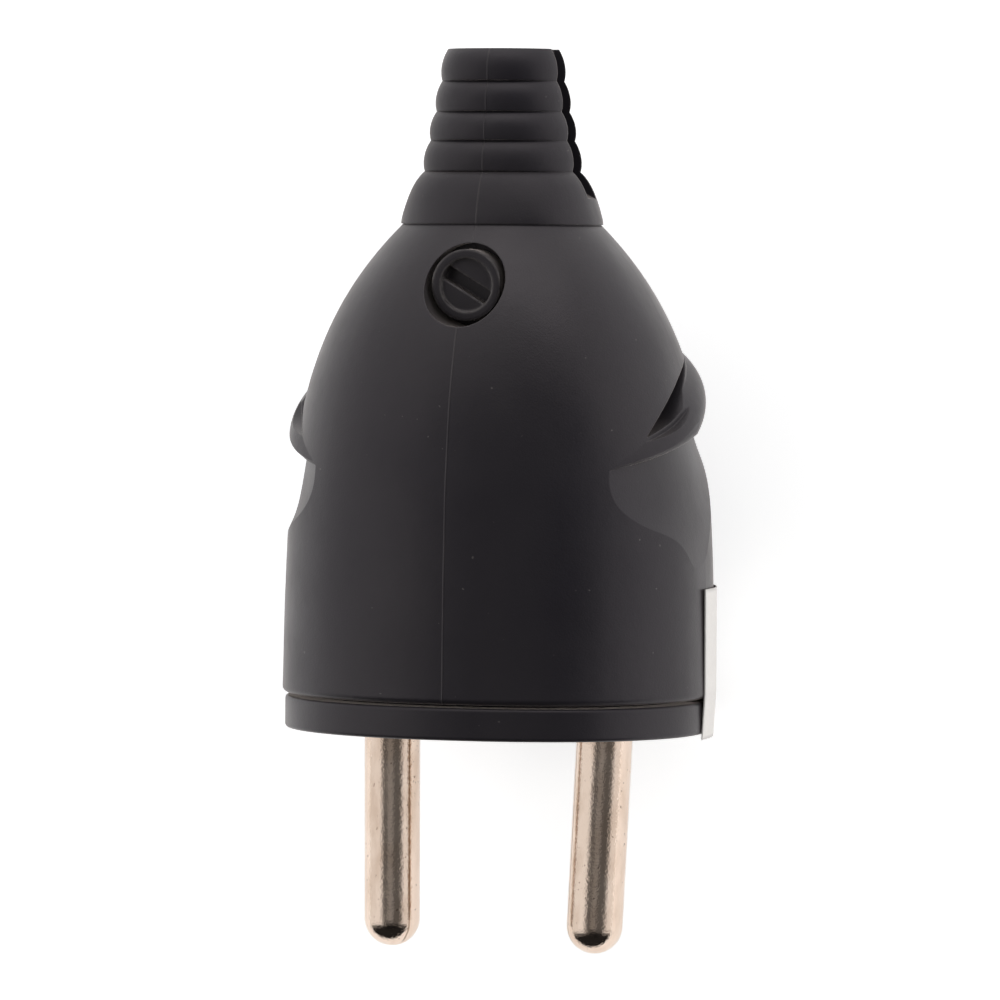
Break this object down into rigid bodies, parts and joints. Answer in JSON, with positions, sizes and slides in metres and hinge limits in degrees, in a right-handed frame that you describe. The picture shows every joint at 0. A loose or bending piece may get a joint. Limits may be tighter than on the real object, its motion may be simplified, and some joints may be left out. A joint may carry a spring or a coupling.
{
  "type": "two-pin mains plug",
  "caption": "Rewireable two-pin mains plug: black moulded cover with finger ears, ribbed cable spout, screw recess and leaning round nickel-plated pins.",
  "frame": {"origin": "centre of the pin plate's outer face, midway between the pins", "axes": "+X from the left pin to the right pin, +Y from the pins to the cable spout, +Z out of the cover screw; the plug lies on its back"},
  "size_m": [0.0371, 0.0768, 0.0314],
  "materials": {
    "cover_plastic": "soft satin, scuffed",
    "carrier_plastic": "satin",
    "pin_plating": "worn nickel plating on brass",
    "screw_steel": "zinc plated",
    "cover_screw_black": "blackened",
    "insert_brass": "turned",
    "label_paper": "blank, matte"
  },
  "bodies": {
    "root": {"cover": "cover_plastic", "pin_carrier": "carrier_plastic", "left_pin": "pin_plating", "right_pin": "pin_plating", "left_terminal_screw": "screw_steel", "right_terminal_screw": "screw_steel", "pin_retainer": "carrier_plastic", "retainer_screw": "screw_steel", "cable_clamp": "carrier_plastic", "left_clamp_screw": "screw_steel", "right_clamp_screw": "screw_steel", "cover_screw": "cover_screw_black", "screw_insert": "insert_brass", "side_label": "label_paper"}
  },
  "joints": []
}
